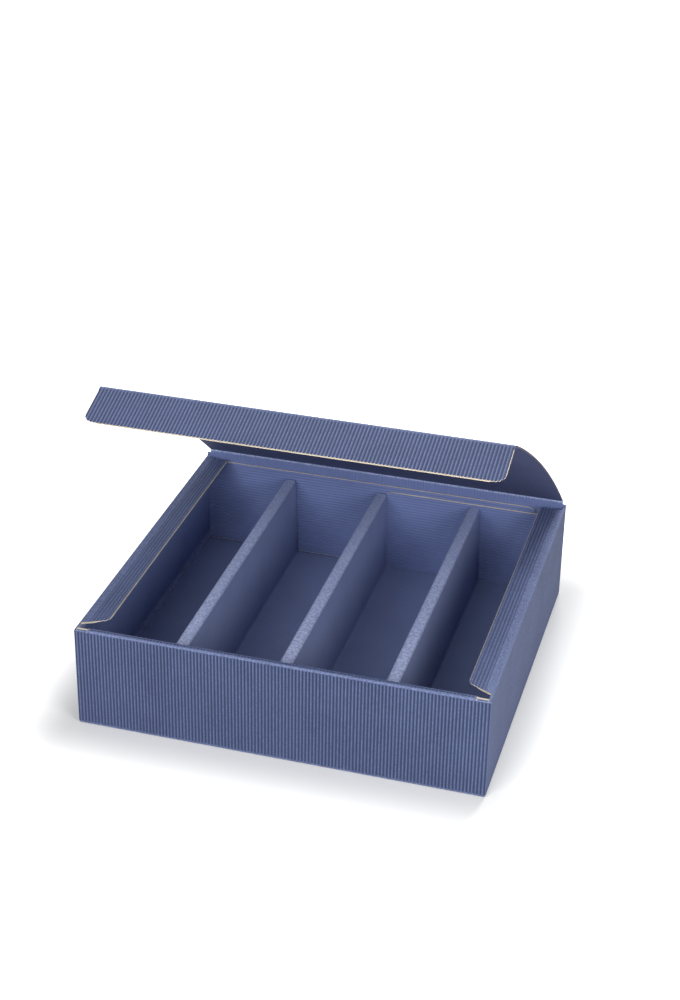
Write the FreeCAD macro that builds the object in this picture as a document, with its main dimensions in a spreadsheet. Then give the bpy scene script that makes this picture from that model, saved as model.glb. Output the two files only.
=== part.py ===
import FreeCAD, Part
import math
import os

import Sketcher

# Bottle shipping box: a ribbed cardboard box folded from one sheet, with a hinged lid, a tuck flap on
# the lid's front edge and a loose folded insert whose three hollow ridges part four bottles.
# Frame: X to the right, Y to the back, Z up, origin at the middle of the base. Millimetres.

SIZES = (
    ("box_width", 370.0, "outer width, left to right"),
    ("box_depth", 350.0, "outer depth, front to back"),
    ("wall_height", 99.0, "outer height of the front and side walls"),
    ("back_rise", 6.0, "height of the lid's crease above the side walls"),
    ("board_thickness", 1.8, "ribbed board, liner and ribs together"),
    ("fold_round", 2.0, "outer radius of a fold"),
    ("rib_pitch", 3.04, "distance from rib to rib"),
    ("rib_depth", 0.8, "depth of the grooves between the ribs"),
    ("base_rib_land", 0.76, "flat width of the base's ribs, on which the box stands"),
    ("crease_band", 4.0, "flat pressed band beside a fold, without ribs"),
    ("front_wall_depth", 6.6, "thickness of the rolled-over front wall"),
    ("front_tab_length", 95.0, "side wall's tab inside the front wall"),
    ("tab_floor_gap", 1.0, "gap under each tab and above the front ones"),
    ("tab_gap", 0.3, "gap between a tab and the sheet that it lies against"),
    ("long_tab_length", 340.0, "left side wall's tab along the back wall"),
    ("long_tab_height", 93.5, "height of its upper edge"),
    ("short_tab_length", 180.0, "right side wall's tab along the back wall"),
    ("short_tab_height", 88.0, "height of its upper edge"),
    ("tab_corner_round", 9.0, "radius of the tabs' upper inner corners"),
    ("dust_flap_width", 24.0, "width of each dust flap"),
    ("dust_flap_front_start", 11.5, "from the front face to the flap, at the fold"),
    ("dust_flap_front_slant", 11.0, "how far its front end is cut back at the inner edge"),
    ("dust_flap_back_start", 9.0, "from the back face to the flap"),
    ("dust_flap_round", 4.0, "radius of the dust flaps' inner corners"),
    ("lid_width", 363.0, "width of the lid"),
    ("lid_length", 341.0, "straight distance from the lid's crease to its front fold"),
    ("lid_bow_angle", 5.2, "slope of the bowed lid at its ends, from its chord"),
    ("lid_open_angle", 35.0, "how far the lid stands open"),
    ("hinge_clearance", 0.3, "gap between the sheets at a crease that moves"),
    ("tuck_flap_width", 358.0, "width of the tuck flap"),
    ("tuck_flap_length", 43.0, "length of the tuck flap from its fold"),
    ("tuck_flap_drop_angle", 17.0, "how far the tuck flap points below level"),
    ("tuck_flap_round", 9.0, "radius of the tuck flap's corners"),
    ("insert_board", 1.6, "thickness of the insert's sheet"),
    ("insert_side_clearance", 0.5, "gap between the insert and each side wall"),
    ("insert_back_clearance", 0.5, "gap between the insert and the tabs behind it"),
    ("tuck_slot_depth", 13.0, "slot between the front wall and the insert"),
    ("ridge_pitch", 95.0, "distance from ridge to ridge"),
    ("ridge_top_height", 86.0, "height of the ridges' tops"),
    ("ridge_top_width", 11.0, "width of a ridge at its top"),
    ("ridge_foot_width", 17.0, "width of a ridge at its foot"),
    ("ridge_round", 3.0, "radius of the ridges' top edges"),
)


class Formula:
    """A size worked out from the sheet: its value, and the expression that binds a feature to it."""

    def __init__(self, value, text):
        self.value = value
        self.text = text

    def _join(self, other, sign, value):
        text = other.text if isinstance(other, Formula) else repr(other)
        return Formula(value, "(%s %s %s)" % (self.text, sign, text))

    @staticmethod
    def _number(other):
        return other.value if isinstance(other, Formula) else other

    def __add__(self, other):
        return self._join(other, "+", self.value + self._number(other))

    def __sub__(self, other):
        return self._join(other, "-", self.value - self._number(other))

    def __mul__(self, other):
        return self._join(other, "*", self.value * self._number(other))

    def __truediv__(self, other):
        return self._join(other, "/", self.value / self._number(other))

    def __neg__(self):
        return Formula(-self.value, "(0 - %s)" % self.text)


def sine(angle):
    return Formula(math.sin(math.radians(angle.value)), "sin(%s * 1deg)" % angle.text)


def cosine(angle):
    return Formula(math.cos(math.radians(angle.value)), "cos(%s * 1deg)" % angle.text)


doc = FreeCAD.newDocument("BottleShippingBox")
sheet = doc.addObject("Spreadsheet::Sheet", "Sizes")
for row, (alias, value, note) in enumerate(SIZES, start=1):
    sheet.set("A%d" % row, note)
    sheet.set("B%d" % row, repr(value))
    sheet.setAlias("B%d" % row, alias)
doc.recompute()


def cell(alias):
    return Formula(float(sheet.get(alias)), "Sizes." + alias)


def bind(feature, **formulas):
    """Bind properties of a feature to formulas; a double underscore in a name stands for a dot."""
    for name, formula in formulas.items():
        feature.setExpression(name.replace("__", "."), formula.text)


# Board and folds
board = cell("board_thickness")
fold = cell("fold_round")
rib_pitch = cell("rib_pitch")
rib_depth = cell("rib_depth")
crease_band = cell("crease_band")
clearance = cell("hinge_clearance")

# Planes of the box
side = cell("box_width") / 2
back = cell("box_depth") / 2
front = -back
wall_top = cell("wall_height")
hinge_height = wall_top + cell("back_rise")
back_wall_top = hinge_height - board - clearance
front_inner = front + cell("front_wall_depth")
zero = Formula(0.0, "0")

UP = FreeCAD.Vector(0, 0, 1)
BACKWARDS = FreeCAD.Vector(0, 1, 0)
FORWARDS = FreeCAD.Vector(0, -1, 0)
RIGHT = FreeCAD.Vector(1, 0, 0)


def new_body(name):
    return doc.addObject("PartDesign::Body", name)


def new_sketch(body, name, role, offset=None):
    """A sketch on one of the body's own origin planes, moved along the plane's normal by an offset."""
    plane = next(item for item in body.Origin.OriginFeatures if item.Role == role)
    sketch = body.newObject("Sketcher::SketchObject", name)
    sketch.AttachmentSupport = [(plane, "")]
    sketch.MapMode = "FlatFace"
    if offset is not None:
        bind(sketch, AttachmentOffset__Base__z=offset)
    return sketch


def draw_outline(sketch, points, rounds=None, hollows=None):
    """Draw a closed outline through points, each tied to the sheet by its distances from the origin.

    rounds maps the number of a point to the radius of an arc that bulges outwards from it to the next
    point, and hollows does the same for arcs that bulge into the outline.
    """
    hollows = hollows or {}
    radii = {**(rounds or {}), **hollows}
    place = [FreeCAD.Vector(u.value, v.value, 0) for u, v in points]
    count = len(points)
    first = sketch.GeometryCount
    area = sum(place[n - 1].x * place[n].y - place[n].x * place[n - 1].y for n in range(count))
    curves = []
    ends = []
    for number in range(count):
        start, end = place[number], place[(number + 1) % count]
        if number not in radii:
            curves.append(Part.LineSegment(start, end))
            ends.append((1, 2))
            continue
        # An arc is drawn anticlockwise, so one that bulges to the left of the way round is turned
        radius = radii[number].value
        turned = (area > 0) == (number in hollows)
        if turned:
            start, end = end, start
        chord = end - start
        outside = FreeCAD.Vector(chord.y, -chord.x, 0).normalize()
        to_centre = math.sqrt(max(radius ** 2 - chord.Length ** 2 / 4, 0))
        centre = (start + end) / 2 - outside * to_centre
        first_angle = math.atan2(start.y - centre.y, start.x - centre.x)
        turn = 2 * math.asin(min(chord.Length / 2 / radius, 1))
        curves.append(Part.ArcOfCircle(Part.Circle(centre, UP, radius), first_angle, first_angle + turn))
        ends.append((2, 1) if turned else (1, 2))

    constraints = []
    bound = []
    for number in range(count):
        edge, following = first + number, first + (number + 1) % count
        constraints.append(Sketcher.Constraint(
            "Coincident", edge, ends[number][1], following, ends[(number + 1) % count][0]))
        for kind, formula in zip(("DistanceX", "DistanceY"), points[number]):
            bound.append((len(constraints), formula))
            constraints.append(Sketcher.Constraint(
                kind, -1, 1, edge, ends[number][0], formula.value))
        if number in radii:
            bound.append((len(constraints), radii[number]))
            constraints.append(Sketcher.Constraint("Radius", edge, radii[number].value))
    sketch.addGeometry(curves, False)
    drawn = sketch.ConstraintCount
    sketch.addConstraint(constraints)
    for index, formula in bound:
        sketch.setExpression("Constraints[%d]" % (drawn + index), formula.text)


def mirrored(points):
    return [(-u, v) for u, v in reversed(points)]


def pad(body, sketch, name, length, symmetric=False):
    feature = body.newObject("PartDesign::Pad", name)
    feature.Profile = sketch
    feature.Midplane = symmetric
    bind(feature, Length=length)
    body.Tip = feature
    return feature


def rib_profile(name, width, plane_point, land=zero):
    """The grooves between the ribs of a panel, as the flat face that is drawn along the panel.

    The face is a comb: its teeth reach one rib depth into the board, and its back lies outside it.
    plane_point turns a place across the panel and a height above its surface into a point. The number
    of grooves is even, so that a rib runs along the middle, and land is the flat width of each rib.
    """
    pitch, depth = rib_pitch.value, rib_depth.value
    count = int(width.value / pitch / 2) * 2
    start = -count * pitch / 2
    notch = depth * land.value / (pitch - land.value)
    points = [plane_point(start, depth)]
    for number in range(count):
        points.append(plane_point(start + number * pitch, notch))
        points.append(plane_point(start + (number + 0.5) * pitch, -depth))
    points.append(plane_point(-start, notch))
    points.append(plane_point(-start, depth))
    points.append(points[0])
    profile = doc.addObject("Part::Feature", name)
    profile.Shape = Part.Face(Part.makePolygon(points))
    return profile


def drawn_ribs(name, profile, direction, length):
    """The comb of grooves drawn straight along the panel."""
    ribs = doc.addObject("Part::Extrusion", name)
    ribs.Base = profile
    ribs.DirMode = "Custom"
    ribs.Dir = direction
    ribs.Solid = True
    bind(ribs, LengthFwd=length)
    return ribs


def cut(name, base, tool):
    feature = doc.addObject("Part::Cut", name)
    feature.Base = base
    feature.Tool = tool
    feature.Refine = False
    return feature


def across_top(across, height):
    return FreeCAD.Vector(across, 0, height)


# Tray: base, rolled-over front wall, side walls with dust flaps and tabs, back wall
tray_blank = new_body("tray_blank")

# The strip that runs from the front wall's inner panel over its roll, along the base and up the back
strip = new_sketch(tray_blank, "strip", "YZ_Plane")
draw_outline(
    strip,
    [
        (front, fold), (front, wall_top - fold), (front + fold, wall_top),
        (front_inner - fold, wall_top), (front_inner, wall_top - fold), (front_inner, board),
        (back - board, board), (back - board, back_wall_top), (back, back_wall_top),
        (back, fold), (back - fold, zero), (front + fold, zero),
    ],
    {1: fold, 3: fold, 9: fold, 11: fold},
)
# The hollow inside the front wall, where the side walls' front tabs lie
draw_outline(
    strip,
    [
        (front + board, board), (front + board, wall_top - board),
        (front_inner - board, wall_top - board), (front_inner - board, board),
    ],
)
pad(tray_blank, strip, "folded_strip", side * 2, symmetric=True)

# Side walls, from the base up and over into the fold of each dust flap
side_section = new_sketch(tray_blank, "side_section", "XZ_Plane")
right_wall = [
    (side - board, zero), (side - board, wall_top - board), (side - fold, wall_top - board),
    (side - fold, wall_top), (side, wall_top - fold), (side, zero),
]
draw_outline(side_section, right_wall, {3: fold})
draw_outline(side_section, mirrored(right_wall), {1: fold})
pad(tray_blank, side_section, "side_walls", (back - board) * 2, symmetric=True)

# Dust flaps, level with the tops of the walls
flap_edge = side - cell("dust_flap_width")
flap_front = front + cell("dust_flap_front_start")
flap_front_inner = flap_front + cell("dust_flap_front_slant")
flap_back = back - cell("dust_flap_back_start")
flap_round = cell("dust_flap_round")
flap_outline = new_sketch(tray_blank, "flap_outline", "XY_Plane", wall_top - board)
right_flap = [
    (side - fold, flap_front), (flap_edge + flap_round, flap_front_inner),
    (flap_edge, flap_front_inner + flap_round), (flap_edge, flap_back - flap_round),
    (flap_edge + flap_round, flap_back), (side - fold, flap_back),
]
draw_outline(flap_outline, right_flap, {1: flap_round, 3: flap_round})
draw_outline(flap_outline, mirrored(right_flap), {1: flap_round, 3: flap_round})
pad(tray_blank, flap_outline, "dust_flaps", board)

# Tabs of the side walls: one pair inside the front wall, one long and one short along the back wall
tab_foot = board + cell("tab_floor_gap")
tab_gap = cell("tab_gap")
tab_round = cell("tab_corner_round")


def tab(name, sign, length, top, face):
    """A tab that starts at a side wall's inner face; face is the Y of its side that faces backwards."""
    start = (side - board) * sign
    end = start - length * sign
    outline = [
        (start, tab_foot), (end, tab_foot), (end, top - tab_round),
        (end + tab_round * sign, top), (start, top),
    ]
    sketch = new_sketch(tray_blank, name + "_outline", "XZ_Plane", -face)
    draw_outline(sketch, outline, {2: tab_round})
    pad(tray_blank, sketch, name, board)


front_tab_top = wall_top - board - cell("tab_floor_gap")
front_tab_face = front + board * 2 + tab_gap
long_tab_face = back - board - tab_gap
short_tab_face = long_tab_face - board - tab_gap
tab("left_front_tab", -1, cell("front_tab_length"), front_tab_top, front_tab_face)
tab("right_front_tab", 1, cell("front_tab_length"), front_tab_top, front_tab_face)
tab("long_back_tab", -1, cell("long_tab_length"), cell("long_tab_height"), long_tab_face)
tab("short_back_tab", 1, cell("short_tab_length"), cell("short_tab_height"), short_tab_face)

# Grooves of the tray's outer faces, which stop short of the folds
wall_foot = fold + crease_band
wall_rib_height = wall_top - wall_foot * 2
back_rib_height = back_wall_top - wall_foot
rib_width = (side - crease_band) * 2
side_rib_start = front_inner
side_rib_length = back - board - side_rib_start

front_comb = rib_profile("front_comb", rib_width, lambda u, out: FreeCAD.Vector(u, -out, 0))
front_ribs = drawn_ribs("front_ribs", front_comb, UP, wall_rib_height)
bind(front_ribs, Placement__Base__y=front, Placement__Base__z=wall_foot)

back_comb = rib_profile("back_comb", rib_width, lambda u, out: FreeCAD.Vector(u, out, 0))
back_ribs = drawn_ribs("back_ribs", back_comb, UP, back_rib_height)
bind(back_ribs, Placement__Base__y=back, Placement__Base__z=wall_foot)

right_comb = rib_profile("right_comb", wall_rib_height, lambda u, out: FreeCAD.Vector(out, 0, u))
right_ribs = drawn_ribs("right_ribs", right_comb, BACKWARDS, side_rib_length)
bind(right_ribs, Placement__Base__x=side, Placement__Base__y=side_rib_start,
     Placement__Base__z=wall_top / 2)

left_comb = rib_profile("left_comb", wall_rib_height, lambda u, out: FreeCAD.Vector(-out, 0, u))
left_ribs = drawn_ribs("left_ribs", left_comb, BACKWARDS, side_rib_length)
bind(left_ribs, Placement__Base__x=-side, Placement__Base__y=side_rib_start,
     Placement__Base__z=wall_top / 2)

base_rib_half_length = back - wall_foot
base_comb = rib_profile(
    "base_comb", rib_width, lambda u, out: FreeCAD.Vector(u, 0, -out), cell("base_rib_land"))
base_ribs = drawn_ribs("base_ribs", base_comb, BACKWARDS, base_rib_half_length * 2)
bind(base_ribs, Placement__Base__y=-base_rib_half_length)

flap_rib_width = cell("dust_flap_width") - fold
flap_rib_middle = side - fold - flap_rib_width / 2
groove_sets = [front_ribs, back_ribs, right_ribs, left_ribs, base_ribs]
for flap_name, flap_side in (("right_flap", flap_rib_middle), ("left_flap", -flap_rib_middle)):
    comb = rib_profile(flap_name + "_comb", flap_rib_width, across_top)
    ribs = drawn_ribs(flap_name + "_ribs", comb, BACKWARDS, side_rib_length)
    bind(ribs, Placement__Base__x=flap_side, Placement__Base__y=side_rib_start,
         Placement__Base__z=wall_top)
    groove_sets.append(ribs)

tray_grooves = doc.addObject("Part::Compound", "tray_grooves")
tray_grooves.Links = groove_sets
tray = cut("tray_with_ribs", tray_blank, tray_grooves)

# Lid: one bowed panel, ribbed on top, drawn closed about its crease and then stood open
lid_length = cell("lid_length")
bow_angle = cell("lid_bow_angle")
open_angle = cell("lid_open_angle")
bow_radius = lid_length / 2 / sine(bow_angle)
bow_centre_height = -(bow_radius * cosine(bow_angle))
lid_half_width = cell("lid_width") / 2
lid_middle = lid_length / 2

# The bow is drawn as flat facets: a pressed band at each end, and these between them
RIBBED_FACETS = 6
ribbed_angle = bow_angle * (lid_length - crease_band * 2) / lid_length
joint_angles = [ribbed_angle * (2 * number / RIBBED_FACETS - 1) for number in range(RIBBED_FACETS + 1)]
facet_angles = [-bow_angle] + joint_angles + [bow_angle]


def on_bow(angle, depth):
    """A point of the bow's section, at an angle from its middle and a depth below its outer face."""
    radius = bow_radius - depth
    return radius * sine(angle) - lid_middle, radius * cosine(angle) + bow_centre_height


def bow_plane(angle):
    """The plane across the lid at an angle, as a function of places on it, for its grooves' profile."""
    place, radius = math.radians(angle.value), bow_radius.value
    middle, centre = lid_middle.value, bow_centre_height.value
    return lambda across, height: FreeCAD.Vector(
        across, (radius + height) * math.sin(place) - middle, (radius + height) * math.cos(place) + centre)


lid_blank = new_body("lid_blank")
lid_section = new_sketch(lid_blank, "lid_section", "YZ_Plane")
draw_outline(
    lid_section,
    [on_bow(angle, zero) for angle in facet_angles]
    + [on_bow(angle, board) for angle in reversed(facet_angles)],
)
pad(lid_blank, lid_section, "bowed_panel", lid_half_width * 2, symmetric=True)

lid_ribs = doc.addObject("Part::Loft", "lid_ribs")
lid_ribs.Sections = [
    rib_profile("lid_comb_%d" % number, lid_half_width * 2, bow_plane(angle))
    for number, angle in enumerate(joint_angles)
]
lid_ribs.Solid = True
lid_ribs.Ruled = True

lid = cut("lid_with_ribs", lid_blank, lid_ribs)
lid.Placement = FreeCAD.Placement(FreeCAD.Vector(), FreeCAD.Rotation(-RIGHT, open_angle.value))
bind(lid, Placement__Base__y=back, Placement__Base__z=hinge_height,
     Placement__Rotation__Angle=open_angle)

# Tuck flap: it starts at the lid's lower front edge, which is where it turns
front_slope = open_angle - bow_angle
flap_hinge_y = back - lid_length * cosine(open_angle) - board * sine(front_slope)
flap_hinge_z = hinge_height + lid_length * sine(open_angle) - board * cosine(front_slope)
tuck_half_width = cell("tuck_flap_width") / 2
tuck_length = cell("tuck_flap_length")
tuck_round = cell("tuck_flap_round")
tuck_flap_blank = new_body("tuck_flap_blank")
tuck_outline = new_sketch(tuck_flap_blank, "tuck_outline", "XY_Plane")
draw_outline(
    tuck_outline,
    [
        (tuck_half_width, -clearance), (tuck_half_width, tuck_round - tuck_length),
        (tuck_half_width - tuck_round, -tuck_length), (tuck_round - tuck_half_width, -tuck_length),
        (-tuck_half_width, tuck_round - tuck_length), (-tuck_half_width, -clearance),
    ],
    {1: tuck_round, 3: tuck_round},
)
pad(tuck_flap_blank, tuck_outline, "flat_flap", board)

tuck_comb = rib_profile("tuck_comb", tuck_half_width * 2, across_top)
tuck_ribs = drawn_ribs("tuck_ribs", tuck_comb, FORWARDS, tuck_length)
bind(tuck_ribs, Placement__Base__y=-(clearance + crease_band), Placement__Base__z=board)
tuck_flap = cut("tuck_flap_with_ribs", tuck_flap_blank, tuck_ribs)
drop_angle = cell("tuck_flap_drop_angle")
tuck_flap.Placement = FreeCAD.Placement(FreeCAD.Vector(), FreeCAD.Rotation(RIGHT, drop_angle.value))
bind(tuck_flap, Placement__Base__y=flap_hinge_y, Placement__Base__z=flap_hinge_z,
     Placement__Rotation__Angle=drop_angle)

# Insert: one sheet on the base, folded up into three hollow ridges that run front to back
insert_board = cell("insert_board")
insert_side = side - board - cell("insert_side_clearance")
insert_back = short_tab_face - board - cell("insert_back_clearance")
insert_front = front_inner + cell("tuck_slot_depth")
ridge_pitch = cell("ridge_pitch")
ridge_top = cell("ridge_top_height")
ridge_half_top = cell("ridge_top_width") / 2
ridge_half_foot = cell("ridge_foot_width") / 2
ridge_round = cell("ridge_round")
ridge_inner_round = ridge_round - insert_board
sheet_top = board + insert_board
RIDGES = (-1, 0, 1)

upper_line, upper_arcs = [(-insert_side, board), (-insert_side, sheet_top)], []
lower_line, lower_arcs = [(insert_side, sheet_top), (insert_side, board)], []
for place in RIDGES:
    middle = ridge_pitch * place
    upper_arcs += [(len(upper_line) + corner) for corner in (1, 3)]
    upper_line += [
        (middle - ridge_half_foot, sheet_top), (middle - ridge_half_top, ridge_top - ridge_round),
        (middle - ridge_half_top + ridge_round, ridge_top),
        (middle + ridge_half_top - ridge_round, ridge_top),
        (middle + ridge_half_top, ridge_top - ridge_round), (middle + ridge_half_foot, sheet_top),
    ]
for place in reversed(RIDGES):
    middle = ridge_pitch * place
    lower_arcs += [(len(lower_line) + corner) for corner in (1, 3)]
    lower_line += [
        (middle + ridge_half_foot - insert_board, board),
        (middle + ridge_half_top - insert_board, ridge_top - ridge_round),
        (middle + ridge_half_top - ridge_round, ridge_top - insert_board),
        (middle - ridge_half_top + ridge_round, ridge_top - insert_board),
        (middle - ridge_half_top + insert_board, ridge_top - ridge_round),
        (middle - ridge_half_foot + insert_board, board),
    ]

insert = new_body("insert_sheet")
ridge_section = new_sketch(insert, "ridge_section", "XZ_Plane", -insert_back)
draw_outline(
    ridge_section,
    upper_line + lower_line,
    rounds={number: ridge_round for number in upper_arcs},
    hollows={len(upper_line) + number: ridge_inner_round for number in lower_arcs},
)
pad(insert, ridge_section, "folded_sheet", insert_back - insert_front)

tray.Label = "tray"
lid.Label = "lid"
tuck_flap.Label = "tuck_flap"
insert.Label = "divider_insert"
NODES = (tray, lid, tuck_flap, insert)

doc.recompute()
for item in doc.Objects:
    if "Invalid" in item.State or "Error" in item.State:
        raise RuntimeError("%s failed: %s" % (item.Name, item.State))
for node in NODES:
    shape = node.Shape
    if shape.isNull() or not shape.isValid() or len(shape.Solids) != 1:
        raise RuntimeError("%s is not one valid solid" % node.Label)

os.makedirs("parts", exist_ok=True)
for node in NODES:
    box = node.Shape.BoundBox
    print("%s: X %.2f..%.2f Y %.2f..%.2f Z %.2f..%.2f volume %.0f" % (
        node.Label, box.XMin, box.XMax, box.YMin, box.YMax, box.ZMin, box.ZMax, node.Shape.Volume))
    node.Shape.exportStep("parts/%s.step" % node.Label)
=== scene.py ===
"""Looks of the bottle shipping box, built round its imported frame.

The box is open-flute board: a flat liner inside and a wavy ply outside, both dyed navy, with raw or dull
paper at the open cut edges. Each panel is that pair of plies on the face of its CAD node, and strips of the
same board bend across the two creases that move. Lengths are metres in the frame's axes: X to the right,
Y to the back, Z up.
"""

import logging
import math
from dataclasses import dataclass
from enum import Enum
from typing import Callable

import bmesh
import bpy
import numpy as np
from mathutils import Matrix, Vector

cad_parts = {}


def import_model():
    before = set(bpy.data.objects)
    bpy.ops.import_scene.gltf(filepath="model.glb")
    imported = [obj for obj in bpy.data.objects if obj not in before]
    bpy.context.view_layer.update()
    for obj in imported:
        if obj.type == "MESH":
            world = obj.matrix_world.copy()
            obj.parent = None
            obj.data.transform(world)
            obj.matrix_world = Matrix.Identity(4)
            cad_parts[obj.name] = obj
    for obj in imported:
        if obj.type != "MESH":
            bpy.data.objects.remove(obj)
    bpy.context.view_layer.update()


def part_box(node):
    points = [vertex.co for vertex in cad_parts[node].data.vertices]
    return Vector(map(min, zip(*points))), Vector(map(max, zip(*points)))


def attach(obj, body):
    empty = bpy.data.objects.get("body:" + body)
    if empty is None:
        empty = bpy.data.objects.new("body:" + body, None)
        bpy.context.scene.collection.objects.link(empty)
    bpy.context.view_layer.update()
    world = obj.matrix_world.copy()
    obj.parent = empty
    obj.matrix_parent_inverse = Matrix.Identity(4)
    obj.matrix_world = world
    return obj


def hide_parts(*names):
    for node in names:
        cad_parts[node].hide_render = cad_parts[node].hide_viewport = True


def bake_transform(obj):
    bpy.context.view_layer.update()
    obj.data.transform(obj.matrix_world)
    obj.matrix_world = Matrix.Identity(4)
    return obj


MM = 0.001
TINY = 1e-6
FAR = 1.0  # Past any end of the box, for a fold that lies beside a panel's end.
KEPT_DIGITS = 7
CLOSEST_ROWS = 0.02 * MM
GRID_HALF = 0.5
SHARP_EDGE = math.radians(60)
RIB_MARK = "rib"
PRESSED_MARK = "pressed"
FRAY_MARK = "fray"
BOARD_MAP = "board"

log = logging.getLogger("bottle_box")

Pair = tuple[float, float]
Place = tuple[float, float, float]
Colour = tuple[float, float, float, float]


def ink(red: float, green: float, blue: float) -> Colour:
    """Turns an sRGB colour of 0 to 255 a channel into the linear colour that shaders take."""
    linear = []
    for channel in (red, green, blue):
        level = channel / 255
        linear.append(level / 12.92 if level <= 0.04045 else ((level + 0.055) / 1.055) ** 2.4)
    return (linear[0], linear[1], linear[2], 1.0)


def ease(value: np.ndarray) -> np.ndarray:
    """Returns the smooth step of values clipped to the range 0 to 1."""
    level = np.clip(value, 0.0, 1.0)
    return level * level * (3 - 2 * level)


def nearness(places: np.ndarray, ranges: tuple[Pair, ...], band: float) -> np.ndarray:
    """Returns 1 inside the ranges, falling to 0 over a band on either side of each."""
    level = np.zeros(len(places))
    for start, end in ranges:
        away = np.maximum(np.maximum(start - places, places - end), 0.0)
        level = np.maximum(level, 1 - ease(away / band))
    return level


def rounding(from_edge: np.ndarray, radius: float) -> np.ndarray:
    """Returns how far a rounded corner falls back, at distances from the edge that it turns into."""
    inside = np.clip(radius - from_edge, 0.0, radius)
    return radius - np.sqrt(np.maximum(radius ** 2 - inside ** 2, 0.0))


def grid_mesh(name: str, columns: int, rows: int, half: float) -> bpy.types.Mesh:
    """Makes a flat grid of faces round the origin, from -half to half both ways."""
    shape = bmesh.new()
    bmesh.ops.create_grid(shape, x_segments=columns, y_segments=rows, size=half)
    mesh = bpy.data.meshes.new(name)
    shape.to_mesh(mesh)
    shape.free()
    return mesh


def added(name: str, data: bpy.types.ID) -> bpy.types.Object:
    """Adds an object with these data to the scene."""
    made = bpy.data.objects.new(name, data)
    bpy.context.scene.collection.objects.link(made)
    return made


class Outside(Enum):
    """Which hand the sheet's outer face is on, going along its path."""

    RIGHT = 1
    LEFT = -1


class Cut(Enum):
    """How the board ends beside its outermost ribs."""

    OPEN = "pressed by the knife, with raw paper showing"
    PLAIN = "cut through the ribs as they are"
    WRAPPED = "rounded over the end, as at a folded corner"


@dataclass(frozen=True)
class Board:
    """Open-flute board.

    Attributes:
        thickness: Liner and ribs together.
        liner: Thickness of the flat ply.
        wave: Thickness of the wavy ply.
        pitch: Distance from rib to rib.
        facets: Mesh steps in one rib.
        band: Width beside a fold over which the ribs rise to their full height.
        pressed_height: Height of the ribs on a fold, as a share of the full one.
        pressed_drop: How far the ribs' tops are pushed in on a fold.
        knife: Width that the knife presses flat along an open cut.
        knife_depth: How far it presses the ribs there, as a share of their height.
        fray: Width of the pale, frayed paper along such a cut.
        ripple: How much the grooves' depth varies, as a share of it.
        ripple_across: Turn of that ripple across the ribs, in radians a metre.
        ripple_along: Turn of it along the ribs.
        ripple_slant: How fast the ripple along a rib shifts from rib to rib.
        ripple_start: Angle at which the ripple starts.
    """

    thickness: float = 1.8 * MM
    liner: float = 0.6 * MM
    wave: float = 0.4 * MM
    pitch: float = 3.04 * MM
    facets: int = 6
    band: float = 2.2 * MM
    pressed_height: float = 0.12
    pressed_drop: float = 0.25 * MM
    knife: float = 0.9 * MM
    knife_depth: float = 0.85
    fray: float = 0.35 * MM
    ripple: float = 0.07
    ripple_across: float = 61.0
    ripple_along: float = 37.0
    ripple_slant: float = 23.0
    ripple_start: float = 2.0

    @property
    def rise(self) -> float:
        """Height of a rib's top over the bottom of the groove beside it."""
        return self.thickness - self.liner - self.wave

    def rib(self, across: np.ndarray) -> np.ndarray:
        """Returns 1 on the ribs' tops and 0 at the bottom of the grooves between them."""
        return (1 + np.cos(2 * math.pi * across / self.pitch)) / 2

    def evenness(self, across: np.ndarray, along: np.ndarray) -> np.ndarray:
        """Returns the share of its depth that a groove keeps at each place."""
        down = np.sin(across * self.ripple_across + self.ripple_start)
        slanted = np.sin(along * self.ripple_along + across * self.ripple_slant)
        return np.clip(1 + self.ripple * down * slanted, 0, 1.0)


@dataclass(frozen=True)
class Trace:
    """A path drawn out: points, outward directions, way travelled and where its folds lie."""

    at: np.ndarray
    out: np.ndarray
    way: np.ndarray
    folds: tuple[Pair, ...]

    @property
    def length(self) -> float:
        """Whole length of the path."""
        return float(self.way[-1])

    def read(self, way: np.ndarray) -> tuple[np.ndarray, np.ndarray]:
        """Reads points and unit outward directions, both of shape (count, 2), at ways travelled."""
        at = np.stack([np.interp(way, self.way, self.at[:, axis]) for axis in (0, 1)], axis=1)
        out = np.stack([np.interp(way, self.way, self.out[:, axis]) for axis in (0, 1)], axis=1)
        return at, out / np.linalg.norm(out, axis=1, keepdims=True)

    def stations(self, run_step: float, band: float) -> np.ndarray:
        """Gives the ways of a sheet's rows: a run step apart at most, closer in a band beside each fold."""
        marks = set(np.round(self.way, KEPT_DIGITS))
        for start, end in self.folds:
            for share in (0.5, 1.0):
                marks.add(round(start - share * band, KEPT_DIGITS))
                marks.add(round(end + share * band, KEPT_DIGITS))
        kept = sorted({min(max(mark, 0.0), self.length) for mark in marks})
        rows = [kept[0]]
        for mark in kept[1:]:
            gap = mark - rows[-1]
            if gap < CLOSEST_ROWS:
                continue
            parts = max(1, math.ceil(gap / run_step))
            rows.extend(np.linspace(rows[-1], mark, parts + 1)[1:])
        return np.array(rows)


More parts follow.
